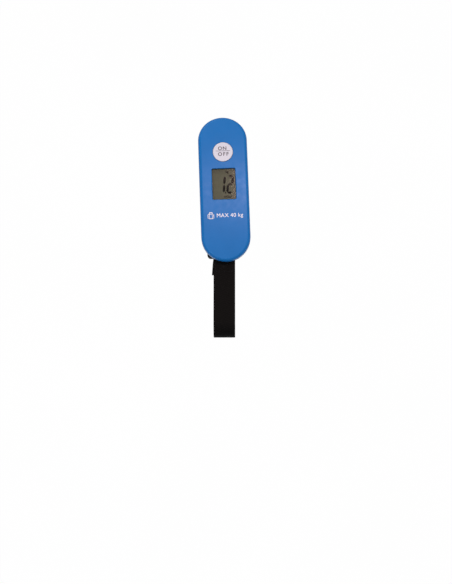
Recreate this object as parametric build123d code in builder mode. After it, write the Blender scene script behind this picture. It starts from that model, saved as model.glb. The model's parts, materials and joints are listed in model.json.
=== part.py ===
from build123d import *
import math
import os

# Digital luggage scale: slim hand-held casing, load cell, hinged ring and webbing strap with a hook.
# Millimetres. X runs across the casing, Y through it with the display facing -Y, Z up along its length.
# The origin is the middle of the grip.

os.makedirs("parts", exist_ok=True)

# casing
body_w = 47.0
body_l = 140.5
front_y = -12.0
back_y = 14.0
wall = 2.2
arch_r = 400.0
front_edge_r = 3.2
back_edge_r = 4.0
notch_z = -28.0
chin_y = 1.2
case_screws_at = [(-13.0, 56.0), (13.0, 56.0), (-17.5, -20.0), (17.5, -20.0)]

# controls and display
button_z = 34.6
button_r = 9.55
lcd_z = 3.3
window_w = 22.5
window_h = 30.3
unit_z = 61.5

# circuit board
board_front_y = -2.6
board_back_y = -1.0
board_posts_at = [(-11.5, 46.0), (11.5, 46.0), (-11.5, -18.9), (11.5, -18.9)]

# battery bay
cell_z = 42.0
cell_r = 10.0
cover_r = 12.75
minus_at = (0, cell_z - 6.8)
plus_at = (11.6, cell_z)

# load path
load_y = 8.2
cell_beam_t = 6.0
anchor_z = 12.6
anchor_bolts_at = [(-7.0, anchor_z), (7.0, anchor_z)]
ring_top_z = -34.6
ring_drop = 20.0
ring_low_z = ring_top_z - ring_drop
ring_span = 30.0
wire_r = 1.8

# strap
web_w = 20.0
web_t = 1.4
web_r = 3.2
lean = math.radians(2.07)
strap_x = -1.8
loop_r = 12.8
loop_w = -73.2
gap = 0.3
tab_l = 10.6
tab_slip = -1.0
tab_skew = 0.8
hook_w = 32.0
hook_t = 2.0
finger_w = 18.0
hook_bar = (13.5, -8.9)


forward = (0, -1, 0)


def deck(y):
    """Plane facing the display side at depth y; sketches on it use X and Z as they are."""
    return Plane.XZ.offset(-y)


def arch(z):
    """Depth of the outer front face at height z."""
    return front_y + arch_r - math.sqrt(arch_r**2 - z**2)


def save(builder, name):
    builder.part.label = name
    export_step(builder.part, "parts/" + name + ".step")


# ---------------------------------------------------------------- casing
with BuildPart() as front_cavity:
    with BuildSketch(deck(1.0)):
        SlotOverall(body_l - 2 * wall, body_w - 2 * wall, rotation=90)
    extrude(amount=14)
    with BuildSketch(Plane.YZ):
        with Locations((front_y + arch_r, 0)):
            Circle(arch_r - wall)
    extrude(amount=40, both=True, mode=Mode.INTERSECT)

with BuildPart() as front_shell:
    with BuildSketch(deck(0)):
        SlotOverall(body_l, body_w, rotation=90)
    extrude(amount=14)
    with BuildSketch(Plane.YZ):
        with Locations((front_y + arch_r, 0)):
            Circle(arch_r)
    extrude(amount=40, both=True, mode=Mode.INTERSECT)
    fillet(front_shell.faces().sort_by(Axis.Y)[0].edges(), front_edge_r)
    add(front_cavity.part, mode=Mode.SUBTRACT)
    for x, z in case_screws_at:
        depth = -arch(z) - 1.2
        with BuildSketch(deck(0)):
            with Locations((x, z)):
                Circle(3.0)
        extrude(amount=depth)
        with BuildSketch(deck(0)):
            with Locations((x, z)):
                Circle(1.05)
        extrude(amount=min(depth - 0.6, 7.0), mode=Mode.SUBTRACT)
    for x, z in board_posts_at:
        depth = -arch(z) + board_front_y - 1.2
        with BuildSketch(deck(board_front_y)):
            with Locations((x, z)):
                Circle(1.8)
        extrude(amount=depth)
        with BuildSketch(deck(board_front_y)):
            with Locations((x, z)):
                Circle(0.85)
        extrude(amount=3.2, mode=Mode.SUBTRACT)
    with BuildSketch(deck(-8.3)):
        with Locations((0, lcd_z)):
            RectangleRounded(28.0, 36.0, 1.0)
    extrude(amount=2.5)
    with BuildSketch(deck(-8.0)):
        with Locations((0, lcd_z)):
            RectangleRounded(window_w, window_h, 1.2)
    extrude(amount=6, mode=Mode.SUBTRACT)
    with BuildSketch(deck(-8.0)):
        with Locations((0, lcd_z)):
            RectangleRounded(25.7, 33.5, 1.0)
    extrude(amount=1.4, mode=Mode.SUBTRACT)
    with BuildSketch(deck(-12.2)):
        with Locations((0, lcd_z)):
            RectangleRounded(window_w + 1.8, window_h + 1.8, 2.1)
    extrude(amount=-0.9, taper=45, mode=Mode.SUBTRACT)
    with BuildSketch(deck(-5.0)):
        with Locations((0, button_z)):
            Circle(button_r + 0.3)
    extrude(amount=8, mode=Mode.SUBTRACT)
save(front_shell, "front_shell")

with BuildPart() as back_shell:
    with BuildSketch(deck(back_y)):
        SlotOverall(body_l, body_w, rotation=90)
    extrude(amount=back_y)
    fillet(back_shell.faces().sort_by(Axis.Y)[-1].edges(), back_edge_r)
    with BuildSketch(deck(back_y - wall)):
        SlotOverall(body_l - 2 * wall, body_w - 2 * wall, rotation=90)
        with Locations((0, notch_z + wall)):
            Rectangle(60, 120, align=(Align.CENTER, Align.MIN), mode=Mode.INTERSECT)
    extrude(amount=back_y - wall, mode=Mode.SUBTRACT)
    with BuildSketch(deck(back_y + 1)):
        with Locations((0, notch_z)):
            Rectangle(60, 60, align=(Align.CENTER, Align.MAX))
    extrude(amount=back_y + 1 - chin_y, mode=Mode.SUBTRACT)
    for x, z in case_screws_at:
        with BuildSketch(deck(back_y - wall + 0.1)):
            with Locations((x, z)):
                Circle(3.2)
        extrude(amount=back_y - wall + 0.1)
        with BuildSketch(deck(back_y)):
            with Locations((x, z)):
                Circle(2.3)
        extrude(amount=back_y - 6.0, mode=Mode.SUBTRACT)
        with BuildSketch(deck(back_y)):
            with Locations((x, z)):
                Circle(1.15)
        extrude(amount=back_y, mode=Mode.SUBTRACT)
    with BuildSketch(deck(12.0)):
        with Locations((0, cell_z)):
            Circle(14.4)
    extrude(amount=6.0)
    with BuildSketch(deck(11.2)):
        with Locations((0, cell_z)):
            Circle(12.9)
    extrude(amount=4.0, mode=Mode.SUBTRACT)
    with BuildSketch(deck(13.0)):
        with Locations((0, cell_z)):
            Circle(11.6)
    extrude(amount=2.0, mode=Mode.SUBTRACT)
    with BuildSketch(deck(back_y + 0.1)):
        with Locations((0, cell_z)):
            Circle(cover_r + 0.3)
    extrude(amount=1.95, mode=Mode.SUBTRACT)
    with BuildSketch(deck(12.2)):
        with Locations((0, cell_z)):
            Circle(12.9)
            Rectangle(30, 6.4, rotation=-45, mode=Mode.INTERSECT)
    extrude(amount=1.1, mode=Mode.SUBTRACT)
    with BuildSketch(deck(7.3)):
        with Locations(minus_at, plus_at):
            Circle(0.8)
    extrude(amount=1.5, mode=Mode.SUBTRACT)
    for side in (-1, 1):
        with BuildSketch(deck(back_y - wall + 0.1)):
            with Locations((side * 19.0, 4.75)):
                Rectangle(5.2, 6.5)
        extrude(amount=back_y - wall + 0.1 - 2.4)
        with BuildSketch(deck(back_y - wall + 0.1)):
            with Locations((side * 5.0, unit_z)):
                Circle(1.6)
        extrude(amount=back_y - wall + 0.1 - 7.25)
    with BuildSketch(deck(back_y + 0.1)):
        with Locations((0, unit_z)):
            Circle(2.8)
    extrude(amount=wall + 0.2, mode=Mode.SUBTRACT)
    with BuildSketch(Plane.XY.offset(notch_z - 1)):
        with Locations((0, load_y)):
            Circle(3.2)
    extrude(amount=wall + 2, mode=Mode.SUBTRACT)
save(back_shell, "back_shell")

with BuildPart() as case_screws:
    for x, z in case_screws_at:
        reach = min(-arch(z) - 2.0, 6.0)
        with BuildSketch(deck(7.6)):
            with Locations((x, z)):
                Circle(2.0)
        extrude(amount=1.6)
        with BuildSketch(deck(6.0)):
            with Locations((x, z)):
                Circle(1.0)
        extrude(amount=6.0 + reach)
        with BuildSketch(deck(7.7)):
            with Locations((x, z)):
                Rectangle(2.4, 0.6)
                Rectangle(0.6, 2.4)
        extrude(amount=0.8, mode=Mode.SUBTRACT)
save(case_screws, "case_screws")

# ---------------------------------------------------------------- display
with BuildPart() as lcd_window:
    with BuildSketch(deck(-8.42)):
        with Locations((0, lcd_z)):
            RectangleRounded(25.6, 33.4, 0.95)
    extrude(amount=0.95)
save(lcd_window, "lcd_window")

with BuildPart() as lcd_panel:
    with BuildSketch(deck(-6.65)):
        with Locations((0, lcd_z)):
            Rectangle(26.6, 34.4)
    extrude(amount=1.6)
save(lcd_panel, "lcd_panel")

with BuildPart() as lcd_frame:
    with BuildSketch(deck(board_front_y - 0.02)):
        with Locations((0, lcd_z)):
            RectangleRounded(28.0, 36.0, 1.0)
            Rectangle(22.0, 29.2, mode=Mode.SUBTRACT)
        with Locations((0, lcd_z - 16.2), (0, lcd_z + 16.2)):
            Rectangle(24.2, 1.7, mode=Mode.SUBTRACT)
    extrude(amount=3.98)
save(lcd_frame, "lcd_frame")

with BuildPart() as zebra_strips:
    with BuildSketch(deck(board_front_y - 0.02)):
        with Locations((0, lcd_z - 16.2), (0, lcd_z + 16.2)):
            Rectangle(24.0, 1.5)
    extrude(amount=3.98)
save(zebra_strips, "zebra_strips")

# ---------------------------------------------------------------- circuit board
with BuildPart() as circuit_board:
    with BuildSketch(deck(board_back_y)):
        with Locations((0, 13.5)):
            RectangleRounded(28.0, 71.0, 2.0)
        with Locations(*board_posts_at):
            Circle(1.1, mode=Mode.SUBTRACT)
    extrude(amount=board_back_y - board_front_y)
save(circuit_board, "circuit_board")

with BuildPart() as board_screws:
    with BuildSketch(deck(board_back_y + 1.1)):
        with Locations(*board_posts_at):
            Circle(1.75)
    extrude(amount=1.08)
    with BuildSketch(deck(board_back_y + 0.02)):
        with Locations(*board_posts_at):
            Circle(0.8)
    extrude(amount=4.4)
    with BuildSketch(deck(board_back_y + 1.2)):
        with Locations(*board_posts_at):
            Rectangle(2.0, 0.5)
            Rectangle(0.5, 2.0)
    extrude(amount=0.6, mode=Mode.SUBTRACT)
save(board_screws, "board_screws")

with BuildPart() as controller_chip:
    with BuildSketch(deck(board_back_y + 1.4)):
        with Locations((0, -7.0)):
            Circle(5.0)
    extrude(amount=1.4)
    fillet(controller_chip.faces().sort_by(Axis.Y)[-1].edges(), 1.2)
save(controller_chip, "controller_chip")

with BuildPart() as small_components:
    with BuildSketch(deck(board_back_y + 0.7)):
        with Locations((0, 5.5)):
            with GridLocations(4.0, 5.0, 5, 2):
                Rectangle(1.8, 1.0)
    extrude(amount=0.7)
    with BuildSketch(deck(board_back_y + 0.7)):
        with Locations((-9.5, -3.0), (-9.5, -7.0), (9.5, -5.0), (-6.0, 24.0), (6.0, 24.0)):
            Rectangle(1.0, 1.8)
    extrude(amount=0.7)
save(small_components, "small_components")

with BuildPart() as power_switch:
    with BuildSketch(deck(board_front_y)):
        with Locations((0, button_z)):
            RectangleRounded(6.0, 6.0, 0.4)
    extrude(amount=2.0)
    with BuildSketch(deck(board_front_y - 0.8)):
        with Locations((0, button_z)):
            Circle(1.35)
    extrude(amount=2.0, mode=Mode.SUBTRACT)
save(power_switch, "power_switch")

with BuildPart() as power_switch_plunger:
    with BuildSketch(deck(-3.95)):
        with Locations((0, button_z)):
            Circle(1.25)
    extrude(amount=1.45)
save(power_switch_plunger, "power_switch_plunger")

# ---------------------------------------------------------------- buttons
with BuildPart() as power_button:
    with BuildSketch(deck(-7.0)):
        with Locations((0, button_z)):
            Circle(button_r)
    extrude(amount=6.0)
    with BuildSketch(Plane.YZ):
        with Locations((front_y + arch_r, 0)):
            Circle(arch_r + 0.7)
    extrude(amount=20, both=True, mode=Mode.INTERSECT)
    fillet(power_button.faces().sort_by(Axis.Y)[0].edges(), 0.6)
    with BuildSketch(deck(-6.2)):
        with Locations((0, button_z)):
            Circle(10.9)
    extrude(amount=0.8)
    with BuildSketch(deck(-5.45)):
        with Locations((0, button_z)):
            Circle(2.0)
    extrude(amount=0.75)
save(power_button, "power_button")

with BuildPart() as unit_board:
    with BuildSketch(deck(7.2)):
        with Locations((0, unit_z)):
            RectangleRounded(14.0, 7.0, 0.8)
    extrude(amount=1.2)
save(unit_board, "unit_board")

with BuildPart() as unit_switch:
    with BuildSketch(deck(9.2)):
        with Locations((0, unit_z)):
            RectangleRounded(4.5, 4.5, 0.3)
    extrude(amount=2.0)
    with BuildSketch(deck(9.2)):
        with Locations((0, unit_z)):
            Circle(1.1)
    extrude(amount=1.0, mode=Mode.SUBTRACT)
save(unit_switch, "unit_switch")

with BuildPart() as unit_button:
    with BuildSketch(deck(back_y - 0.1)):
        with Locations((0, unit_z)):
            Circle(2.5)
    extrude(amount=2.7)
    fillet(unit_button.faces().sort_by(Axis.Y)[-1].edges(), 0.4)
    with BuildSketch(deck(11.3)):
        with Locations((0, unit_z)):
            Circle(3.3)
    extrude(amount=0.8)
    with BuildSketch(deck(10.5)):
        with Locations((0, unit_z)):
            Circle(1.0)
    extrude(amount=1.8)
save(unit_button, "unit_button")

# ---------------------------------------------------------------- battery bay
with BuildPart() as battery_cell:
    with BuildSketch(deck(11.6)):
        with Locations((0, cell_z)):
            Circle(cell_r)
    extrude(amount=3.2)
    fillet(battery_cell.faces().sort_by(Axis.Y)[-1].edges(), 0.35)
save(battery_cell, "battery_cell")

with BuildPart() as contact_minus:
    with BuildSketch(deck(7.5)):
        with Locations((0, cell_z - 1.4)):
            Rectangle(5.0, 13.0)
    extrude(amount=0.28)
    with BuildSketch(deck(8.35)):
        with Locations((0, cell_z)):
            Circle(2.0)
    extrude(amount=0.9)
save(contact_minus, "contact_minus")

with BuildPart() as contact_plus:
    with BuildSketch(deck(9.7)):
        with Locations((10.35, cell_z)):
            Rectangle(0.4, 6.0)
    extrude(amount=2.4)
    with BuildSketch(deck(7.55)):
        with Locations((11.3, cell_z)):
            Rectangle(2.3, 4.0)
    extrude(amount=0.3)
save(contact_plus, "contact_plus")

with BuildPart() as battery_wires:
    for (x, z), (slack_x, slack_z) in ((minus_at, (0.4, -0.2)), (plus_at, (0.3, -0.4))):
        with BuildLine():
            run = Spline(
                (x, 7.15, z),
                (x + slack_x, 4.0, z + slack_z),
                (x, board_back_y + 0.05, z),
                tangents=(forward, forward),
            )
        with BuildSketch(Plane(origin=run @ 0, z_dir=run % 0)):
            Circle(0.5)
        sweep(path=run)
save(battery_wires, "battery_wires")

with BuildPart() as battery_cover:
    with BuildSketch(deck(back_y)):
        with Locations((0, cell_z)):
            Circle(cover_r)
    extrude(amount=1.8)
    fillet(battery_cover.faces().sort_by(Axis.Y)[-1].edges(), 0.4)
    with BuildSketch(deck(12.2)):
        with Locations((0, cell_z)):
            Circle(11.3)
            Circle(10.4, mode=Mode.SUBTRACT)
    extrude(amount=2.2)
    with BuildSketch(deck(11.0)):
        with Locations((0, cell_z)):
            Circle(12.6)
            Rectangle(30, 5.6, mode=Mode.INTERSECT)
            Circle(10.4, mode=Mode.SUBTRACT)
    extrude(amount=1.0)
    with BuildSketch(deck(back_y)):
        with Locations((0, cell_z)):
            SlotOverall(15.0, 2.0)
    extrude(amount=0.9, mode=Mode.SUBTRACT)
save(battery_cover, "battery_cover")

# ---------------------------------------------------------------- load cell and hanger
beam_front = load_y - cell_beam_t / 2
beam_back = load_y + cell_beam_t / 2
bolt_seat_y = beam_front - 2.47
bolt_tip_y = 10.2
with BuildPart() as load_cell:
    with BuildSketch(deck(beam_back)):
        with Locations((0, -2.0)):
            RectangleRounded(24.0, 44.0, 1.5)
            Circle(4.6, mode=Mode.SUBTRACT)
        with Locations((-3.0, 6.6)):
            SlotOverall(19.0, 1.6, mode=Mode.SUBTRACT)
        with Locations((3.0, -10.6)):
            SlotOverall(19.0, 1.6, mode=Mode.SUBTRACT)
        with Locations(*anchor_bolts_at):
            Circle(1.55, mode=Mode.SUBTRACT)
    extrude(amount=cell_beam_t)
    with BuildSketch(Plane.XY.offset(-24.1)):
        with Locations((0, load_y)):
            Circle(1.8)
    extrude(amount=11.5, mode=Mode.SUBTRACT)
save(load_cell, "load_cell")

with BuildPart() as strain_gauges:
    for side in (-1, 1):
        with BuildSketch(Plane.YZ.offset(side * 12.0)):
            with Locations((load_y, -2.0)):
                Rectangle(4.0, 7.0)
        extrude(amount=side * 0.3)
save(strain_gauges, "strain_gauges")

with BuildPart() as anchor_plate:
    with BuildSketch(deck(beam_front - 0.05)):
        with Locations((0, anchor_z)):
            RectangleRounded(41.0, 9.0, 1.2)
        with Locations(*anchor_bolts_at):
            Circle(1.6, mode=Mode.SUBTRACT)
    extrude(amount=2.4)
save(anchor_plate, "anchor_plate")

with BuildPart() as anchor_bolts:
    with BuildSketch(deck(bolt_seat_y)):
        with Locations(*anchor_bolts_at):
            Circle(2.8)
    extrude(amount=1.7)
    with BuildSketch(deck(bolt_tip_y)):
        with Locations(*anchor_bolts_at):
            Circle(1.5)
    extrude(amount=bolt_tip_y - bolt_seat_y)
    with BuildSketch(deck(beam_front - 3.2)):
        with Locations(*anchor_bolts_at):
            RegularPolygon(1.3, 6)
    extrude(amount=1.5, mode=Mode.SUBTRACT)
save(anchor_bolts, "anchor_bolts")

with BuildPart() as load_cell_wires:
    for i in range(4):
        x = -4.5 + 3.0 * i
        with BuildLine():
            run = Spline(
                (x, 4.7, -14.5),
                (x, 2.4, -15.6),
                (x, board_back_y + 0.05, -17.0),
                tangents=(forward, forward),
            )
        with BuildSketch(Plane(origin=run @ 0, z_dir=run % 0)):
            Circle(0.45)
        sweep(path=run)
save(load_cell_wires, "load_cell_wires")

with BuildPart() as hanger_eye:
    with BuildSketch(Plane.YZ.offset(2.75)):
        with Locations((load_y, ring_top_z)):
            Circle(4.4)
    extrude(amount=-5.5)
    with BuildSketch(Plane.XY.offset(ring_top_z + 3.2)):
        with Locations((0, load_y)):
            Circle(2.4)
    extrude(amount=-25.3 - ring_top_z - 3.2)
    with BuildSketch(Plane.XY.offset(-25.4)):
        with Locations((0, load_y)):
            Circle(1.75)
    extrude(amount=12.4)
    with BuildSketch(Plane.YZ.offset(4.0)):
        with Locations((load_y, ring_top_z)):
            Circle(wire_r + 0.4)
    extrude(amount=-8, mode=Mode.SUBTRACT)
save(hanger_eye, "hanger_eye")

with BuildPart() as hanger_washer:
    with BuildSketch(Plane.XY.offset(-25.28)):
        with Locations((0, load_y)):
            Circle(3.1)
            Circle(1.85, mode=Mode.SUBTRACT)
    extrude(amount=1.24)
save(hanger_washer, "hanger_washer")

ring_plane = Plane(origin=(0, load_y, 0), x_dir=(1, 0, 0), z_dir=(0, -1, 0))
with BuildPart() as strap_ring:
    with BuildLine(ring_plane):
        ring_half = FilletPolyline(
            (0, ring_top_z),
            (ring_span / 2, ring_top_z),
            (ring_span / 2, ring_low_z),
            (0, ring_low_z),
            radius=3.5,
        )
    with BuildSketch(Plane(origin=(0, load_y, ring_top_z), x_dir=(0, 1, 0), z_dir=(1, 0, 0))):
        Circle(wire_r)
    sweep(path=ring_half)
    mirror(about=Plane.YZ)
save(strap_ring, "strap_ring")

# ---------------------------------------------------------------- strap
across = Vector(math.cos(lean), 0, -math.sin(lean))
strap_side = Plane(origin=(strap_x, 0, ring_low_z), x_dir=(0, 1, 0), z_dir=across)


def polar(centre, radius, degrees):
    """Point in the strap's side view."""
    turn = math.radians(degrees)
    return (centre[0] + radius * math.cos(turn), centre[1] + radius * math.sin(turn))


def touch(point, centre, radius):
    """Bearing from the centre to where a line from the point grazes the circle on its far-depth side."""
    dy = centre[0] - point[0]
    dw = centre[1] - point[1]
    bearing = math.degrees(math.atan2(dw, dy) - math.asin(radius / math.hypot(dy, dw)))
    return bearing - 90


ring_bar = (load_y, 0.0)
front_run_y = load_y - web_r
loop_c = (front_run_y + loop_r, loop_w)
span_y = hook_bar[0] - loop_c[0]
span_w = hook_bar[1] - loop_c[1]
crossing = math.degrees(math.asin((loop_r + web_r) / math.hypot(span_y, span_w)))
rise = math.degrees(math.atan2(span_w, span_y)) + crossing
fold_turn = (rise + 90) / 3
folds = [polar(loop_c, loop_r, 180 + i * fold_turn) for i in range(4)]
rear_dir = (math.cos(math.radians(rise)), math.sin(math.radians(rise)))
rear_out = (rear_dir[1], -rear_dir[0])
rear_top = polar(hook_bar, web_r, rise + 90)


def down_rear(along, out):
    """Point on the rear run, measured down from its top and outward from its centre line."""
    return (
        rear_top[0] - along * rear_dir[0] + out * rear_out[0],
        rear_top[1] - along * rear_dir[1] + out * rear_out[1],
    )


tab_y = front_run_y + web_t - 0.05
tab_start = (tab_y, -13.0)
front_touch = touch(tab_start, ring_bar, web_r)
with BuildPart() as strap_front:
    with BuildSketch(strap_side):
        with BuildLine():
            wrap = CenterArc(ring_bar, web_r, front_touch, 180 - front_touch)
            Line(wrap @ 1, folds[0])
            offset(amount=web_t / 2)
        make_face()
        with BuildLine():
            Polyline(polar(ring_bar, web_r, front_touch), tab_start, (tab_y, -26.0))
            offset(amount=web_t / 2)
        make_face()
    extrude(amount=web_w / 2, both=True)
save(strap_front, "strap_front")

for i in range(3):
    with BuildPart() as strap_link:
        with BuildSketch(strap_side):
            with BuildLine():
                CenterArc(loop_c, loop_r, 180 + i * fold_turn, fold_turn)
                offset(amount=web_t / 2)
            make_face()
            with Locations(folds[i]):
                Circle(web_t / 2 + gap, mode=Mode.SUBTRACT)
        extrude(amount=web_w / 2, both=True)
    save(strap_link, "strap_fold_" + str(i + 1))

rear_touch = touch(down_rear(6.5, web_t - 0.05), hook_bar, web_r)
tab_top = down_rear(6.5, web_t / 2 - 0.05)
tab_plane = Plane(
    origin=strap_side.from_local_coords(tab_top),
    x_dir=across,
    z_dir=strap_side.from_local_coords(rear_out) - strap_side.origin,
)
with BuildPart() as strap_rear:
    with BuildSketch(strap_side):
        with BuildLine():
            Line(folds[3], rear_top)
            CenterArc(hook_bar, web_r, rise + 90, rear_touch - rise - 90)
            offset(amount=web_t / 2)
        make_face()
        with BuildLine():
            Line(polar(hook_bar, web_r, rear_touch), down_rear(6.5, web_t - 0.05))
            offset(amount=web_t / 2)
        make_face()
        with Locations(folds[3]):
            Circle(web_t / 2 + gap, mode=Mode.SUBTRACT)
    extrude(amount=web_w / 2, both=True)
    with BuildSketch(tab_plane):
        with BuildLine():
            Polyline(
                (tab_slip - web_w / 2, 0),
                (tab_slip + web_w / 2, 0),
                (tab_slip + web_w / 2 - tab_skew, tab_l),
                (tab_slip - web_w / 2 - tab_skew, tab_l),
                close=True,
            )
        make_face()
    extrude(amount=web_t)
save(strap_rear, "strap_rear")

stitch_plane = Plane(
    origin=strap_side.from_local_coords((front_run_y - web_t / 2, 0)), x_dir=across, z_dir=forward
)
with BuildPart() as strap_front_stitches:
    with BuildSketch(stitch_plane):
        with Locations((0, -14.6), (0, -24.6)):
            with GridLocations(2.4, 1, 7, 1):
                Rectangle(1.7, 0.5)
        with Locations((-8.4, -19.6), (8.4, -19.6)):
            with GridLocations(1, 2.4, 1, 4):
                Rectangle(0.5, 1.7)
    extrude(amount=0.2)
save(strap_front_stitches, "strap_front_stitches")

rear_stitch_plane = tab_plane.offset(web_t)
with BuildPart() as strap_rear_stitches:
    with BuildSketch(rear_stitch_plane):
        with Locations((-0.3, 2.0), (-1.4, 9.2)):
            with GridLocations(2.4, 1, 7, 1):
                Rectangle(1.7, 0.5)
        with Locations((-9.2, 5.6), (7.5, 5.6)):
            with GridLocations(1, 2.4, 1, 2):
                Rectangle(0.5, 1.7)
    extrude(amount=0.2)
save(strap_rear_stitches, "strap_rear_stitches")

# ---------------------------------------------------------------- hook
hook_side = strap_side.offset(-0.5)
plate_y = hook_bar[0]
hook_face = Plane(origin=hook_side.origin, x_dir=across, z_dir=forward).offset(-plate_y)
with BuildPart() as strap_hook:
    with BuildSketch(hook_side):
        with BuildLine():
            FilletPolyline((plate_y, -9.8), (plate_y, 5.62), (load_y - 1.0, 5.18), radius=2.4)
            offset(amount=hook_t / 2)
        make_face()
    extrude(amount=hook_w / 2, both=True)
    with BuildSketch(hook_face) as hook_outline:
        with Locations((0, -11.0)):
            Rectangle(hook_w, 8.6, align=(Align.CENTER, Align.MIN))
        fillet(hook_outline.vertices().sort_by(Axis.Y)[:2], 4.0)
        fillet(hook_outline.vertices().sort_by(Axis.Y)[-2:], 2.0)
        with Locations((0, -8.0)):
            Rectangle(finger_w, 18.0, align=(Align.CENTER, Align.MIN))
        shoulders = hook_outline.vertices().filter_by_position(Axis.Y, -3.0, -2.0)
        fillet(shoulders.filter_by_position(Axis.X, -finger_w / 2 - 0.5, finger_w / 2 + 0.5), 1.2)
    extrude(amount=20, both=True, mode=Mode.INTERSECT)
    with BuildSketch(hook_face):
        with Locations((0, hook_bar[1] + 1.9 + 1.3)):
            SlotOverall(21.6, 2.6)
    extrude(amount=3, both=True, mode=Mode.SUBTRACT)
save(strap_hook, "strap_hook")
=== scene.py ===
"""Digital luggage scale: finishes, woven strap, printed marks, light and camera round the CAD frame."""

import json
import math

import bmesh
import bpy
from mathutils import Matrix, Vector


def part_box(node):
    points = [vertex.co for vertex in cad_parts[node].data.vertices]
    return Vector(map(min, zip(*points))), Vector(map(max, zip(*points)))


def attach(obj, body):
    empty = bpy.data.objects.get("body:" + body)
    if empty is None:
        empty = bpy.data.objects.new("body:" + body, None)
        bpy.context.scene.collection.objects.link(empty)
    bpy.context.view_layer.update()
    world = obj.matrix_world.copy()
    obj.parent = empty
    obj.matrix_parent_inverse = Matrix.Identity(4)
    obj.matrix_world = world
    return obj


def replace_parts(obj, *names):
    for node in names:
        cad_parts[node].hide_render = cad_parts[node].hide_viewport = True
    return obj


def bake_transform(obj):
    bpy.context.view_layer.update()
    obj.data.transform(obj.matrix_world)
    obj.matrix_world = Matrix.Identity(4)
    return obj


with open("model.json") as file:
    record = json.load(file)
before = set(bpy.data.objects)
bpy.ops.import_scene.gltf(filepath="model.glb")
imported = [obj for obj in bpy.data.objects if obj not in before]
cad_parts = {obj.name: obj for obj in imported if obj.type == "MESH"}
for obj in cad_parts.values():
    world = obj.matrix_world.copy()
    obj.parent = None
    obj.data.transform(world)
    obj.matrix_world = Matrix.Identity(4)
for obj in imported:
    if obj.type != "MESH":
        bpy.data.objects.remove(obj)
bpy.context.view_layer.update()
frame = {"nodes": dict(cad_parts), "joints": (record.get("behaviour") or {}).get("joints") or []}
nodes = frame["nodes"]
joints = {j["name"]: j for j in frame["joints"]}

MM = 0.001
# thickness of a printed mark and of a display segment, and how far a mark stands off its face
PRINT = 0.06 * MM
INK = 0.02 * MM
PROUD = 0.03 * MM


# ---------------------------------------------------------------- material nodes
def shader(name, colour, rough, metallic=0.0):
    """A Principled material with its node tree, ready for more nodes."""
    mat = bpy.data.materials.new(name)
    mat.use_nodes = True
    bsdf = mat.node_tree.nodes["Principled BSDF"]
    bsdf.inputs["Base Color"].default_value = (*colour, 1)
    bsdf.inputs["Roughness"].default_value = rough
    bsdf.inputs["Metallic"].default_value = metallic
    return mat, mat.node_tree, bsdf


def noise(tree, scale, detail=4.0, stretch=(1, 1, 1)):
    """Noise over the object's own coordinates, finer as scale grows."""
    coords = tree.nodes.new("ShaderNodeTexCoord")
    mapping = tree.nodes.new("ShaderNodeMapping")
    mapping.inputs["Scale"].default_value = stretch
    texture = tree.nodes.new("ShaderNodeTexNoise")
    texture.inputs["Scale"].default_value = scale
    texture.inputs["Detail"].default_value = detail
    tree.links.new(coords.outputs["Object"], mapping.inputs["Vector"])
    tree.links.new(mapping.outputs["Vector"], texture.inputs["Vector"])
    return texture.outputs["Fac"]


def ramp(tree, factor, low, high, start=0.3, end=0.7):
    """Maps a factor to a colour range and returns the colour output."""
    node = tree.nodes.new("ShaderNodeValToRGB")
    node.color_ramp.elements[0].position = start
    node.color_ramp.elements[1].position = end
    node.color_ramp.elements[0].color = (*low, 1)
    node.color_ramp.elements[1].color = (*high, 1)
    tree.links.new(factor, node.inputs["Fac"])
    return node.outputs["Color"]


def bump(tree, bsdf, height, strength, distance):
    node = tree.nodes.new("ShaderNodeBump")
    node.inputs["Strength"].default_value = strength
    node.inputs["Distance"].default_value = distance
    tree.links.new(height, node.inputs["Height"])
    tree.links.new(node.outputs["Normal"], bsdf.inputs["Normal"])


def tint(colour, factor):
    return tuple(min(1.0, c * factor) for c in colour)


def finish(
    name, colour, rough, metallic=0.0, spread=0.06, grain=1500, relief=0.02, wear=0.06, coat=0.0,
    stretch=(1, 1, 1), shine=0.5,
):
    """Moulded plastic, metal or film: slight colour drift, fine relief and roughness that varies."""
    mat, tree, bsdf = shader(name, colour, rough, metallic)
    drift = noise(tree, 60, 3.0)
    tree.links.new(
        ramp(tree, drift, tint(colour, 1 - spread), tint(colour, 1 + spread)), bsdf.inputs["Base Color"]
    )
    fine = noise(tree, grain, 5.0, stretch)
    bump(tree, bsdf, fine, 0.35, relief * MM)
    low, high = max(0.0, rough - wear), min(1.0, rough + wear)
    tree.links.new(ramp(tree, noise(tree, 220, 6.0), (low,) * 3, (high,) * 3), bsdf.inputs["Roughness"])
    bsdf.inputs["Specular IOR Level"].default_value = shine
    bsdf.inputs["Coat Weight"].default_value = coat
    bsdf.inputs["Coat Roughness"].default_value = 0.12
    return mat


BLUE = (0.003, 0.132, 0.415)
LILAC = (0.45, 0.62, 1.0)
WHITE = (0.52, 0.565, 0.655)
DARK = (0.012, 0.012, 0.014)

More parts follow.
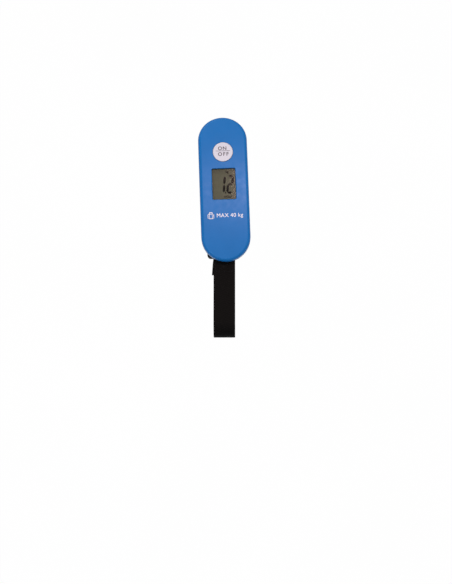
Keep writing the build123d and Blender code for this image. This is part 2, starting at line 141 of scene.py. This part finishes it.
blue_shell = finish(
    "blue_shell", BLUE, 0.38, spread=0.03, grain=2600, relief=0.012, wear=0.05, shine=0.45
)
blue_shell.node_tree.nodes["Principled BSDF"].inputs["Specular Tint"].default_value = (*LILAC, 1)
dark_shell = finish(
    "dark_shell", DARK, 0.55, spread=0.12, grain=2200, relief=0.035, wear=0.08, shine=0.35
)
button_white = finish("button_white", WHITE, 0.42, spread=0.02, grain=1800, relief=0.008, coat=0.15)
print_white = finish("print_white", (0.86, 0.86, 0.88), 0.5, spread=0.03, grain=5000, relief=0.004)
print_pale = finish("print_pale", (0.30, 0.30, 0.31), 0.5, spread=0.03, grain=5000, relief=0.004)
print_grey = finish("print_grey", (0.045, 0.045, 0.06), 0.5, spread=0.05, grain=5000, relief=0.004)
lcd_ink = finish(
    "lcd_ink", (0.004, 0.004, 0.003), 0.5, spread=0.05, grain=4000, relief=0.003, shine=0.04
)
black_coat = finish(
    "black_coat", (0.016, 0.016, 0.018), 0.38, metallic=0.35, spread=0.15, grain=1800, relief=0.02,
    wear=0.12, coat=0.2,
)
zinc = finish(
    "zinc", (0.58, 0.59, 0.62), 0.32, metallic=1.0, spread=0.08, grain=900, relief=0.01, wear=0.1,
    stretch=(1, 1, 8),
)
bright_steel = finish(
    "bright_steel", (0.70, 0.70, 0.71), 0.18, metallic=1.0, spread=0.04, grain=700, relief=0.006,
    stretch=(8, 1, 1),
)
aluminium = finish(
    "aluminium", (0.72, 0.73, 0.75), 0.4, metallic=1.0, spread=0.05, grain=700, relief=0.015,
    stretch=(1, 1, 12),
)
brass_strip = finish(
    "brass_strip", (0.62, 0.50, 0.26), 0.3, metallic=1.0, spread=0.08, grain=1200, relief=0.006
)
board_green = finish(
    "board_green", (0.012, 0.090, 0.030), 0.4, spread=0.2, grain=600, relief=0.02, coat=0.3
)
resin_black = finish(
    "resin_black", (0.010, 0.010, 0.011), 0.22, spread=0.1, grain=500, relief=0.02, coat=0.3
)
switch_black = finish("switch_black", (0.020, 0.020, 0.022), 0.5, spread=0.1)
component_tan = finish("component_tan", (0.20, 0.14, 0.08), 0.5, spread=0.3, grain=900)
holder_white = finish("holder_white", (0.72, 0.72, 0.70), 0.5)
strip_pink = finish("strip_pink", (0.60, 0.50, 0.48), 0.7, spread=0.1, grain=900, stretch=(20, 1, 1))
wire_red = finish("wire_red", (0.42, 0.02, 0.015), 0.45, spread=0.08)
gauge_amber = finish("gauge_amber", (0.50, 0.26, 0.05), 0.35, spread=0.1, grain=1200)


def lcd_face():
    """Reflective display: olive grey, a little paler towards one corner, with a faint sparkle."""
    mat, tree, bsdf = shader("lcd_face", (0.091, 0.101, 0.066), 0.45)
    drift = noise(tree, 25, 2.0)
    tree.links.new(
        ramp(tree, drift, (0.086, 0.095, 0.062), (0.097, 0.107, 0.071)), bsdf.inputs["Base Color"]
    )
    bump(tree, bsdf, noise(tree, 6000, 2.0), 0.2, 0.004 * MM)
    bsdf.inputs["Specular IOR Level"].default_value = 0.1
    return mat


def clear_plastic():
    """Thin clear window: mostly let through, with a glossy skin."""
    mat, tree, bsdf = shader("clear_plastic", (0.020, 0.024, 0.020), 0.08)
    haze = ramp(tree, noise(tree, 180, 4.0), (0.05,) * 3, (0.12,) * 3)
    tree.links.new(haze, bsdf.inputs["Roughness"])
    bsdf.inputs["Alpha"].default_value = 0.06
    bsdf.inputs["IOR"].default_value = 1.49
    return mat


def nylon(name, colour, crown=None):
    """Yarn with fine filaments. Given a crown colour, a painted highlight in that colour is added on the
    rib crowns, where the yarn height in the mesh is greatest.
    """
    mat, tree, bsdf = shader(name, colour, 0.7)
    shade = ramp(tree, noise(tree, 900, 5.0), tint(colour, 0.6), tint(colour, 1.7))
    if crown:
        height = tree.nodes.new("ShaderNodeAttribute")
        height.attribute_name = "yarn"
        # painted highlight: the crown colour, added to the yarn's tone where the yarn stands highest
        top = ramp(tree, height.outputs["Fac"], (0, 0, 0), crown, 0.55, 1.0)
        both = tree.nodes.new("ShaderNodeMix")
        both.data_type = "RGBA"
        both.blend_type = "ADD"
        # the mix node's sockets repeat their names per data type: 6 and 7 in, 2 out are the colours
        both.inputs[0].default_value = 1.0
        tree.links.new(shade, both.inputs[6])
        tree.links.new(top, both.inputs[7])
        shade = both.outputs[2]
    tree.links.new(shade, bsdf.inputs["Base Color"])
    bump(tree, bsdf, noise(tree, 2600, 3.0, (1.0, 1.0, 0.25)), 0.6, 0.05 * MM)
    bsdf.inputs["Specular IOR Level"].default_value = 0.06
    return mat


# the third colour is the painted highlight on the rib crowns of the webbing
webbing_black = nylon("webbing_black", (0.0022, 0.0021, 0.0020), (0.014, 0.0135, 0.0135))
thread_black = nylon("thread_black", (0.010, 0.010, 0.011))
lcd_olive = lcd_face()
window_clear = clear_plastic()

finishes = {
    "front_shell": blue_shell,
    "back_shell": dark_shell,
    "battery_cover": dark_shell,
    "case_screws": zinc,
    "lcd_window": window_clear,
    "lcd_panel": lcd_olive,
    "lcd_frame": holder_white,
    "zebra_strips": strip_pink,
    "circuit_board": board_green,
    "unit_board": board_green,
    "board_screws": zinc,
    "controller_chip": resin_black,
    "small_components": component_tan,
    "power_switch": switch_black,
    "unit_switch": switch_black,
    "power_switch_plunger": switch_black,
    "power_button": button_white,
    "unit_button": button_white,
    "battery_cell": bright_steel,
    "contact_minus": brass_strip,
    "contact_plus": brass_strip,
    "battery_wires": wire_red,
    "load_cell_wires": wire_red,
    "load_cell": aluminium,
    "strain_gauges": gauge_amber,
    "anchor_plate": zinc,
    "anchor_bolts": zinc,
    "hanger_eye": zinc,
    "hanger_washer": zinc,
    "strap_ring": black_coat,
    "strap_hook": black_coat,
}
for node, mat in finishes.items():
    nodes[node].data.materials.clear()
    nodes[node].data.materials.append(mat)


# ---------------------------------------------------------------- mesh helpers
def new_piece(name, verts, faces, mat, smooth=False):
    mesh = bpy.data.meshes.new(name)
    mesh.from_pydata([tuple(v) for v in verts], [], faces)
    tidy = bmesh.new()
    tidy.from_mesh(mesh)
    bmesh.ops.recalc_face_normals(tidy, faces=tidy.faces)
    tidy.to_mesh(mesh)
    tidy.free()
    mesh.materials.append(mat)
    for poly in mesh.polygons:
        poly.use_smooth = smooth
    obj = bpy.data.objects.new(name, mesh)
    bpy.context.scene.collection.objects.link(obj)
    return obj


def prism(outline, thick):
    """Verts and faces of a flat shape: outline as (x, z) points, from depth 0 back to thick."""
    n = len(outline)
    verts = [(x, 0.0, z) for x, z in outline] + [(x, thick, z) for x, z in outline]
    faces = [tuple(range(n)), tuple(range(2 * n - 1, n - 1, -1))]
    faces += [(i, n + i, n + (i + 1) % n, (i + 1) % n) for i in range(n)]
    return verts, faces


def gather(shapes):
    """Several (verts, faces) as one."""
    verts, faces = [], []
    for v, f in shapes:
        faces += [tuple(i + len(verts) for i in face) for face in f]
        verts += v
    return verts, faces


def stroke(points, width):
    """A printed line through (x, z) points, as one prism per run with squared ends."""
    shapes = []
    for a, b in zip(points, points[1:]):
        run = Vector((b[0] - a[0], b[1] - a[1]))
        along = run.normalized() * width / 2
        side = Vector((-along.y, along.x))
        corners = [(*a, -1, -1), (*b, 1, -1), (*b, 1, 1), (*a, -1, 1)]
        outline = [
            (x + end * along.x + flank * side.x, z + end * along.y + flank * side.y)
            for x, z, end, flank in corners
        ]
        shapes.append(prism(outline, PRINT))
    return gather(shapes)


def lettering(text, height, middle, tracking=1.0, thick=PRINT, weight=0.0):
    """Text as (verts, faces) centred on (x, z), facing the display side."""
    curve = bpy.data.curves.new("lettering", "FONT")
    curve.body = text
    curve.size = 1.0
    curve.extrude = 0.5
    curve.offset = weight
    curve.space_character = tracking
    curve.resolution_u = 5
    holder = bpy.data.objects.new("lettering", curve)
    bpy.context.scene.collection.objects.link(holder)
    graph = bpy.context.evaluated_depsgraph_get()
    mesh = bpy.data.meshes.new_from_object(holder.evaluated_get(graph))
    co = [v.co.copy() for v in mesh.vertices]
    faces = [tuple(p.vertices) for p in mesh.polygons]
    bpy.data.objects.remove(holder)
    bpy.data.meshes.remove(mesh)
    low = [min(c[i] for c in co) for i in range(2)]
    high = [max(c[i] for c in co) for i in range(2)]
    scale = height / (high[1] - low[1])
    verts = []
    for c in co:
        x = middle[0] + (c.x - (low[0] + high[0]) / 2) * scale
        z = middle[1] + (c.y - (low[1] + high[1]) / 2) * scale
        verts.append((x, (0.5 - c.z) * thick, z))
    return verts, faces


# ---------------------------------------------------------------- marks printed on the casing
ARCH = 400 * MM
face_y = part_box("front_shell")[0].y
button_low, button_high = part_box("power_button")
button_z = (button_low.z + button_high.z) / 2
button_y = face_y - 0.7 * MM
lcd_low, lcd_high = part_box("lcd_window")
lcd_z = (lcd_low.z + lcd_high.z) / 2


def on_arch(shape, top_y, radius=ARCH):
    """Lays a flat shape on the arched face whose highest line is at top_y."""
    verts, faces = shape
    verts = [(x, y - PROUD + top_y + radius - math.sqrt(radius**2 - z**2), z) for x, y, z in verts]
    return verts, faces


marks = [
    lettering("ON", 3.7 * MM, (-0.5 * MM, button_z + 3.5 * MM), 1.16, weight=0.02),
    stroke([(-6.6 * MM, button_z + 0.9 * MM), (6.6 * MM, button_z + 0.9 * MM)], 0.4 * MM),
    lettering("OFF", 3.7 * MM, (0.4 * MM, button_z - 2.3 * MM), 1.3, weight=0.02),
]
button_marks = new_piece(
    "power_button_marks", *on_arch(gather(marks), button_y, ARCH + 0.7 * MM), print_grey
)
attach(button_marks, "power_key")


def rounded(w, h, r, x=0.0, z=0.0, steps=5):
    """Rounded rectangle outline round (x, z)."""
    points = []
    for quarter, (sx, sz) in enumerate([(1, 1), (-1, 1), (-1, -1), (1, -1)]):
        for i in range(steps + 1):
            turn = math.pi / 2 * (quarter + i / steps)
            points.append(
                (x + sx * (w / 2 - r) + r * math.cos(turn), z + sz * (h / 2 - r) + r * math.sin(turn))
            )
    return points


def case_pictogram(x, z):
    """A plain travel case hanging from a handle."""
    outline = rounded(5.4 * MM, 4.4 * MM, 0.9 * MM, x, z)
    body = stroke(outline + outline[:1], 0.5 * MM)
    left, right, foot, top = x - 1.2 * MM, x + 1.2 * MM, z + 2.4 * MM, z + 3.6 * MM
    handle = stroke([(left, foot), (left, top), (right, top), (right, foot)], 0.5 * MM)
    bands = [
        stroke([(x + s * 1.3 * MM, z - 1.9 * MM), (x + s * 1.3 * MM, z + 1.9 * MM)], 0.4 * MM)
        for s in (-1, 1)
    ]
    return gather([body, handle] + bands)


mark_z = -27.3 * MM
capacity = lettering("MAX 40 kg", 4.8 * MM, (4.6 * MM, mark_z - 0.4 * MM), 1.06)
casing_marks = gather([case_pictogram(-13.5 * MM, mark_z - 0.5 * MM), capacity])
front_marks = new_piece("casing_marks", *on_arch(casing_marks, face_y), print_white)
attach(front_marks, "casing")


back_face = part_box("back_shell")[1].y
cover_low, cover_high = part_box("battery_cover")
cover_z = (cover_low.z + cover_high.z) / 2
cover_r = (cover_high.z - cover_low.z) / 2
unit_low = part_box("unit_button")[0]


def on_back(shape, face):
    """Turns a flat shape round to sit on the back, read from behind."""
    verts, faces = shape
    return [(-x, face + PROUD - y, z) for x, y, z in verts], faces


def dot(x, z, radius):
    return prism(rounded(2 * radius, 2 * radius, radius * 0.99, x, z, 8), PRINT)


def round_cover(degrees, radius):
    """(x, z) at a bearing and distance from the battery cover's middle."""
    turn = math.radians(degrees)
    return radius * math.cos(turn), cover_z + radius * math.sin(turn)


# degrees the cover turns to come off, and the circle its marks lie on
OPEN_TURN = 45
MARK_R = cover_r + 2.0 * MM
arrow_tip = round_cover(OPEN_TURN - 10, MARK_R)
sweep = stroke([round_cover(9 + i * (OPEN_TURN - 19) / 5, MARK_R) for i in range(6)], 0.35 * MM)
barbs = [
    stroke([round_cover(OPEN_TURN - 17, MARK_R + side * 0.9 * MM), arrow_tip], 0.3 * MM)
    for side in (-1, 1)
]
back_marks = gather([
    dot(*round_cover(0, MARK_R), 0.6 * MM),
    dot(*round_cover(OPEN_TURN, MARK_R), 0.45 * MM),
    sweep,
    *barbs,
    lettering("kg/lb", 1.9 * MM, (0.0, unit_low.z - 1.8 * MM), 1.05),
])
printed_back = new_piece("back_marks", *on_back(back_marks, back_face), print_pale)
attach(printed_back, "casing")
cover_dot = new_piece(
    "cover_mark", *on_back(dot(*round_cover(0, cover_r - 1.9 * MM), 0.6 * MM), cover_high.y), print_pale
)
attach(cover_dot, "cover")


# ---------------------------------------------------------------- softened edges
def soften(node, width, angle=40):
    """Breaks the sharp edges of a CAD piece so that they catch the light."""
    edge = nodes[node].modifiers.new("soft_edges", "BEVEL")
    edge.width = width
    edge.segments = 2
    edge.limit_method = "ANGLE"
    edge.angle_limit = math.radians(angle)
    edge.use_clamp_overlap = True
    edge.harden_normals = True


for node in ("strap_hook", "hanger_eye"):
    soften(node, 0.25 * MM)
for node in ("back_shell", "front_shell", "power_button", "battery_cover", "unit_button"):
    soften(node, 0.15 * MM)


# ---------------------------------------------------------------- display segments
# lean of the figures, as x gained per unit of z
SLANT = math.tan(math.radians(5.5))


def bar(x0, z0, x1, z1, width):
    """One display segment with pointed ends."""
    run = Vector((x1 - x0, z1 - z0))
    along = run.normalized()
    side = Vector((-along.y, along.x)) * width / 2
    tip = along * width / 2
    a, b = Vector((x0, z0)), Vector((x1, z1))
    outline = [a, a + tip + side, b - tip + side, b, b - tip - side, a + tip - side]
    return prism([(p.x + p.y * SLANT, p.y) for p in outline], INK)


half_digit = 8.1 * MM
seg = 2.3 * MM
two_left, two_right = 3.7 * MM, 8.0 * MM
one_x = 0.3 * MM
inset = 0.25 * MM
point = rounded(1.3 * MM, 1.3 * MM, 0.3 * MM, 2.0 * MM, -half_digit)
segments = [
    bar(one_x, inset, one_x, half_digit - 0.4 * MM, seg),
    bar(one_x, -inset, one_x, -half_digit + 0.4 * MM, seg),
    bar(two_left, half_digit, two_right, half_digit, seg),
    bar(two_right, half_digit - inset, two_right, inset, seg),
    bar(two_left, 0, two_right, 0, seg),
    bar(two_left, -inset, two_left, -half_digit + inset, seg),
    bar(two_left, -half_digit, two_right, -half_digit, seg),
    prism([(x - half_digit * SLANT, z) for x, z in point], INK),
    lettering("kg", 2.9 * MM, (3.4 * MM, 11.9 * MM), 1.05, INK, 0.04),
    lettering("HOLD", 2.1 * MM, (3.7 * MM, -12.0 * MM), 1.05, INK, 0.04),
]
verts, faces = gather(segments)
panel_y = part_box("lcd_panel")[0].y
lcd_segments = new_piece(
    "lcd_segments", [(x, y + panel_y - 0.06 * MM, z + lcd_z) for x, y, z in verts], faces, lcd_ink
)
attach(lcd_segments, "casing")


# ---------------------------------------------------------------- strap
bar_at = Vector(joints["strap_swing"]["pos_m"])
folds = [
    Vector(joints[name]["pos_m"])
    for name in ("strap_open", "strap_bend_2", "strap_bend_3", "strap_bend_4")
]
hook_at = Vector(joints["hook_tilt"]["pos_m"])
across = -Vector(joints["strap_open"]["axis"]).normalized()
depth = Vector((0, 1, 0))
upward = across.cross(depth)
strap_at = folds[0] + upward * ((bar_at.z - folds[0].z) / upward.z)
strap_at.y = 0.0

# webbing: width, thickness, radius of its middle where it turns round a bar, and gap between layers
WEB_W = 20.0 * MM
WEB_T = 1.4 * MM
WRAP = 3.2 * MM
GAP = 0.02 * MM
# weave: length of a row, width of a rib, length of a yarn's pass over and under, height of the ribs
STEP = 0.3 * MM
RIB = 1.0 * MM
FLOAT = 2.2 * MM
RELIEF = 0.11 * MM
# sewn ends: where each leaves its bar's wrap, and how far it reaches
FRONT_TAB_TOP, FRONT_TAB_END = 13 * MM, 26 * MM
REAR_TAB_TOP, REAR_TAB_LENGTH = 6.5 * MM, 11.0 * MM
STITCH_OFF = 0.04 * MM


def flat(point):
    """(depth, height) of a point in the strap's side view."""
    d = point - strap_at
    return Vector((d.y, d.dot(upward)))


def solid(p, u=0.0):
    """Back from the side view to the row frame, u across the webbing."""
    return strap_at + depth * p.x + upward * p.y + across * u


def round_centre(a, b, c):
    """Centre of the circle through three side-view points."""
    ab, ac = b - a, c - a
    d = 2 * (ab.x * ac.y - ab.y * ac.x)
    x = (ac.y * ab.length_squared - ab.y * ac.length_squared) / d
    y = (ab.x * ac.length_squared - ac.x * ab.length_squared) / d
    return a + Vector((x, y))


def arc(centre, radius, start, end):
    """Side-view points from one bearing to another, in degrees."""
    count = max(2, int(abs(math.radians(end - start)) * radius / STEP))
    turns = [math.radians(start + (end - start) * i / count) for i in range(count + 1)]
    return [centre + Vector((math.cos(t), math.sin(t))) * radius for t in turns]


def bearing(v):
    return math.degrees(math.atan2(v.y, v.x))


def graze(point, centre, radius):
    """Bearing from the centre of where a line from the point touches the circle on its rear side."""
    to = centre - point
    return bearing(to) - math.degrees(math.asin(radius / to.length)) - 90


def even(points, ease=3):
    """Points along the same line at the strap's step, with the corners eased."""
    lengths = [0.0]
    for a, b in zip(points, points[1:]):
        lengths.append(lengths[-1] + (b - a).length)
    count = max(2, round(lengths[-1] / STEP))
    out, k = [], 0
    for i in range(count + 1):
        s = lengths[-1] * i / count
        while k < len(points) - 2 and lengths[k + 1] < s:
            k += 1
        span = max(lengths[k + 1] - lengths[k], 1e-9)
        out.append(points[k].lerp(points[k + 1], min(1.0, (s - lengths[k]) / span)))
    for _ in range(ease):
        inner = [(a + b * 2 + c) / 4 for a, b, c in zip(out, out[1:], out[2:])]
        out = [out[0], *inner, out[-1]]
    return out


def weave(s, u):
    """Height of the yarns above the webbing's face: ribs along it, crossing in a herringbone."""
    column = math.floor(u / RIB)
    inside = (u / RIB - column) * 2 - 1
    lean_way = abs((column + 100) % 10 - 5)
    phase = s / FLOAT + lean_way * 0.25
    crown = math.sqrt(max(0.0, 1 - inside**2))
    return RELIEF * (crown * (0.62 + 0.38 * math.cos(2 * math.pi * phase)) - 0.6)


def face_row(s, columns):
    """(u, height, yarn) across one face of the webbing, thinner towards its edges."""
    row = []
    for u in columns:
        near_edge = min(1.0, (WEB_W / 2 - abs(u)) / (0.6 * MM))
        height = (WEB_T / 2 + weave(s, u)) * (0.86 + 0.14 * near_edge)
        row.append((u, height, weave(s, u) / (RELIEF * 0.4)))
    return row


def webbing(name, points, start_s=0.0, slide=None):
    """A length of webbing swept along side-view points. slide(i, n) moves a row across the strap."""
    cols = round(WEB_W / (RIB / 4))
    columns = [WEB_W * (k / cols - 0.5) for k in range(cols + 1)]
    edge = [
        (WEB_W / 2 + 0.35 * MM * math.cos(t), WEB_T / 2 * math.sin(t))
        for t in (math.pi / 4, 0, -math.pi / 4)
    ]
    n = len(points)
    verts, yarn = [], []
    for i, p in enumerate(points):
        before, after = points[max(0, i - 1)], points[min(n - 1, i + 1)]
        along = (after - before).normalized()
        out = Vector((-along.y, along.x))
        s = start_s + i * STEP
        shift = slide(i, n) if slide else 0.0
        upper, under = face_row(s, columns), face_row(s + FLOAT / 2, columns[::-1])
        ring = [(u, h) for u, h, _ in upper] + edge
        ring += [(u, -h) for u, h, _ in under] + [(-u, -h) for u, h in edge]
        for row in (upper, under):
            yarn += [value for _, _, value in row] + [0.0] * len(edge)
        verts += [solid(p + out * h, u + shift) for u, h in ring]
    m = len(verts) // n
    faces = [
        (i * m + k, i * m + (k + 1) % m, (i + 1) * m + (k + 1) % m, (i + 1) * m + k)
        for i in range(n - 1) for k in range(m)
    ]
    faces += [tuple(range(m - 1, -1, -1)), tuple((n - 1) * m + k for k in range(m))]
    strap = new_piece(name, verts, faces, webbing_black, smooth=True)
    # the yarn height per point, from which the webbing material paints a highlight on the rib crowns
    strap.data.attributes.new("yarn", "FLOAT", "POINT").data.foreach_set("value", yarn)
    return strap


# side view: the two bars, the four hinges, and the bend's centre, radius and bearings at the hinges
ring_c, hook_c = flat(bar_at), flat(hook_at)
F = [flat(p) for p in folds]
loop_c = round_centre(F[0], F[1], F[2])
loop_r = (F[0] - loop_c).length
turns = [180.0]
for p in F[1:]:
    turns.append(turns[0] + (bearing(p - loop_c) - turns[0]) % 360)
middles = [(a + b) / 2 for a, b in zip(turns, turns[1:])]
rise = turns[3] - 360 + 90
rear_dir = Vector((math.cos(math.radians(rise)), math.sin(math.radians(rise))))
rear_out = Vector((rear_dir.y, -rear_dir.x))
leave = math.radians(rise + 90)
rear_top = hook_c + Vector((math.cos(leave), math.sin(leave))) * WRAP

tab_y = F[0].x + WEB_T + GAP
tab_start = Vector((tab_y, ring_c.y - FRONT_TAB_TOP))
tab_end = Vector((tab_y, ring_c.y - FRONT_TAB_END))
front_touch = graze(tab_start, ring_c, WRAP)
front_path = [tab_end, tab_start] + arc(ring_c, WRAP, front_touch, 180)
front_path += arc(loop_c, loop_r, turns[0], middles[0])
rear_tab = rear_top - rear_dir * REAR_TAB_TOP + rear_out * (WEB_T + GAP)
rear_touch = graze(rear_tab, hook_c, WRAP)
rear_path = arc(loop_c, loop_r, middles[2], turns[3]) + arc(hook_c, WRAP, rise + 90, rear_touch)
rear_path += [rear_tab, rear_tab - rear_dir * REAR_TAB_LENGTH]

TAB_ROWS = round(REAR_TAB_LENGTH / STEP)


def tab_slide(i, n):
    """The rear tab is sewn on askew: it slips 1 mm sideways on the way in and 0.8 mm more along it."""
    along = (i - (n - 1 - TAB_ROWS)) / TAB_ROWS
    return -MM * (max(0.0, min(1.0, 1 + along)) + 0.8 * max(0.0, along))


front_points, rear_points = even(front_path), even(rear_path)
strap_front = webbing("webbing_front", front_points)
strap_low = webbing("webbing_bend_front", even(arc(loop_c, loop_r, middles[0], middles[1]), 0), 0.4 * MM)
strap_back = webbing("webbing_bend_rear", even(arc(loop_c, loop_r, middles[1], middles[2]), 0), 0.9 * MM)
strap_rear = webbing("webbing_rear", rear_points, 0.2 * MM, tab_slide)
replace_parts(strap_front, "strap_front")
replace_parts(strap_low, "strap_fold_1", "strap_fold_2")
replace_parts(strap_back, "strap_fold_3")
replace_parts(strap_rear, "strap_rear")

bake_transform(strap_front)
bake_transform(strap_low)
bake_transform(strap_back)
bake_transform(strap_rear)


# ---------------------------------------------------------------- stitching
def stitch(centre, along, out, length=1.9 * MM, thick=0.26 * MM):
    """One stitch of thread, a short bead that dips into the webbing at both ends."""
    side = along.cross(out)
    rows, ring, verts = 7, 6, []
    for i in range(rows):
        t = i / (rows - 1) * 2 - 1
        fat = thick * math.sqrt(max(0.02, 1 - t**4))
        sink = -0.16 * MM * t * t
        for k in range(ring):
            a = 2 * math.pi * k / ring
            verts.append(
                centre + along * t * length / 2 + out * (sink + fat * math.sin(a))
                + side * fat * math.cos(a)
            )
    faces = [
        (i * ring + k, i * ring + (k + 1) % ring, (i + 1) * ring + (k + 1) % ring, (i + 1) * ring + k)
        for i in range(rows - 1) for k in range(ring)
    ]
    faces += [tuple(range(ring - 1, -1, -1)), tuple((rows - 1) * ring + k for k in range(ring))]
    return verts, faces


def seam(points, origin, x_way, z_way, out):
    """Stitches along (x, z) runs laid on a plane, a little apart."""
    shapes = []
    for a, b in points:
        a, b = Vector(a) * MM, Vector(b) * MM
        count = max(1, round((b - a).length / (2.35 * MM)))
        way = (b - a).normalized()
        for i in range(count):
            mid = a.lerp(b, (i + 0.5) / count)
            along = x_way * way.x + z_way * way.y
            shapes.append(stitch(origin + x_way * mid.x + z_way * mid.y, along, out))
    return gather(shapes)


def box_and_cross(x, top, low):
    """A sewn box with its two diagonals."""
    return [
        ((-x, top), (x, top)), ((-x, low), (x, low)), ((-x, top), (-x, low)), ((x, top), (x, low)),
        ((-x, top), (x, low)), ((x, top), (-x, low)),
    ]


front_face = solid(Vector((F[0].x - WEB_T / 2 - STITCH_OFF, ring_c.y)))
front_seam = seam(box_and_cross(8.3, -14.6, -24.4), front_face, across, upward, -depth)
front_stitches = new_piece("stitches_front", *front_seam, thread_black, smooth=True)
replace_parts(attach(front_stitches, "front_leg"), "strap_front_stitches")

rear_way = solid(rear_dir) - solid(Vector((0, 0)))
rear_normal = solid(rear_out) - solid(Vector((0, 0)))
rear_face = solid(rear_tab + rear_out * (WEB_T / 2 + STITCH_OFF)) - across * 0.8 * MM
rear_seam = seam(box_and_cross(8.0, -2.2, -9.4), rear_face, across, rear_way, rear_normal)
rear_stitches = new_piece("stitches_rear", *rear_seam, thread_black, smooth=True)
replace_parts(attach(rear_stitches, "rear_leg"), "strap_rear_stitches")


# ---------------------------------------------------------------- backdrop, light and camera
glow, glow_tree, glow_bsdf = shader("white_wall", (0.8, 0.8, 0.8), 0.9)
glow_bsdf.inputs["Emission Color"].default_value = (1.0, 1.0, 1.0, 1)
glow_bsdf.inputs["Emission Strength"].default_value = 0.95
glow_tree.links.new(
    ramp(glow_tree, noise(glow_tree, 2.0, 2.0), (0.05,) * 3, (0.06,) * 3), glow_bsdf.inputs["Base Color"]
)
WALL_R, WALL_FORWARD, WALL_H = 3.2, 1.2, 2.2
bends = [math.radians(6 * i) for i in range(-8, 9)]
wall_verts = [
    (WALL_R * math.sin(t), WALL_R * math.cos(t) - WALL_FORWARD, z)
    for t in bends for z in (-WALL_H, WALL_H)
]
wall_faces = [(2 * i, 2 * i + 2, 2 * i + 3, 2 * i + 1) for i in range(len(bends) - 1)]
new_piece("backdrop", wall_verts, wall_faces, glow, smooth=True)

world = bpy.data.worlds.new("studio")
world.use_nodes = True
world.node_tree.nodes["Background"].inputs["Color"].default_value = (0.96, 0.98, 1.0, 1)
world.node_tree.nodes["Background"].inputs["Strength"].default_value = 0.5
bpy.context.scene.world = world


def softbox(name, place, aim, size, power, colour=(1, 1, 1)):
    """A rectangular light of so many watts at a place, turned to its aim."""
    light = bpy.data.lights.new(name, "AREA")
    light.shape = "RECTANGLE"
    light.size, light.size_y = size
    light.energy = power
    light.color = colour
    lamp = bpy.data.objects.new(name, light)
    lamp.location = place
    lamp.rotation_mode = "QUATERNION"
    lamp.rotation_quaternion = (Vector(aim) - Vector(place)).to_track_quat("-Z", "Y")
    bpy.context.scene.collection.objects.link(lamp)
    return lamp


softbox("top", (-0.35, -0.8, 1.15), (0, 0, -0.02), (0.9, 0.6), 4.5)
softbox("front", (-0.3, -1.25, -0.55), (0, 0, -0.05), (0.7, 0.4), 3.0, (0.95, 0.98, 1.0))
softbox("sheen", (0.13, -0.88, 0.17), (0.02, 0, -0.02), (0.22, 0.22), 4.5, (1.0, 0.66, 0.60))

DISTANCE = 1.0
LENS_MM = 63.68
ELEVATION = math.radians(-12.5)
ROLL = math.radians(2.07)
AIM_ACROSS, AIM_DOWN = math.radians(-0.10), math.radians(5.654)

camera = bpy.data.cameras.new("camera")
camera.sensor_width = 36.0
camera.lens = LENS_MM
camera.clip_start, camera.clip_end = 0.05, 30
eye = bpy.data.objects.new("camera", camera)
bpy.context.scene.collection.objects.link(eye)
back = Vector((0, -math.cos(ELEVATION), math.sin(ELEVATION)))
eye.location = back * DISTANCE
looking = (-back).to_track_quat("-Z", "Y").to_matrix()
turn = Matrix.Rotation(AIM_ACROSS, 3, "Y") @ Matrix.Rotation(-AIM_DOWN, 3, "X")
spin = Matrix.Rotation(-ROLL, 3, "Z")
eye.rotation_mode = "QUATERNION"
eye.rotation_quaternion = (looking @ spin @ turn).to_quaternion()
bpy.context.scene.camera = eye
bpy.context.scene.view_settings.view_transform = "Standard"
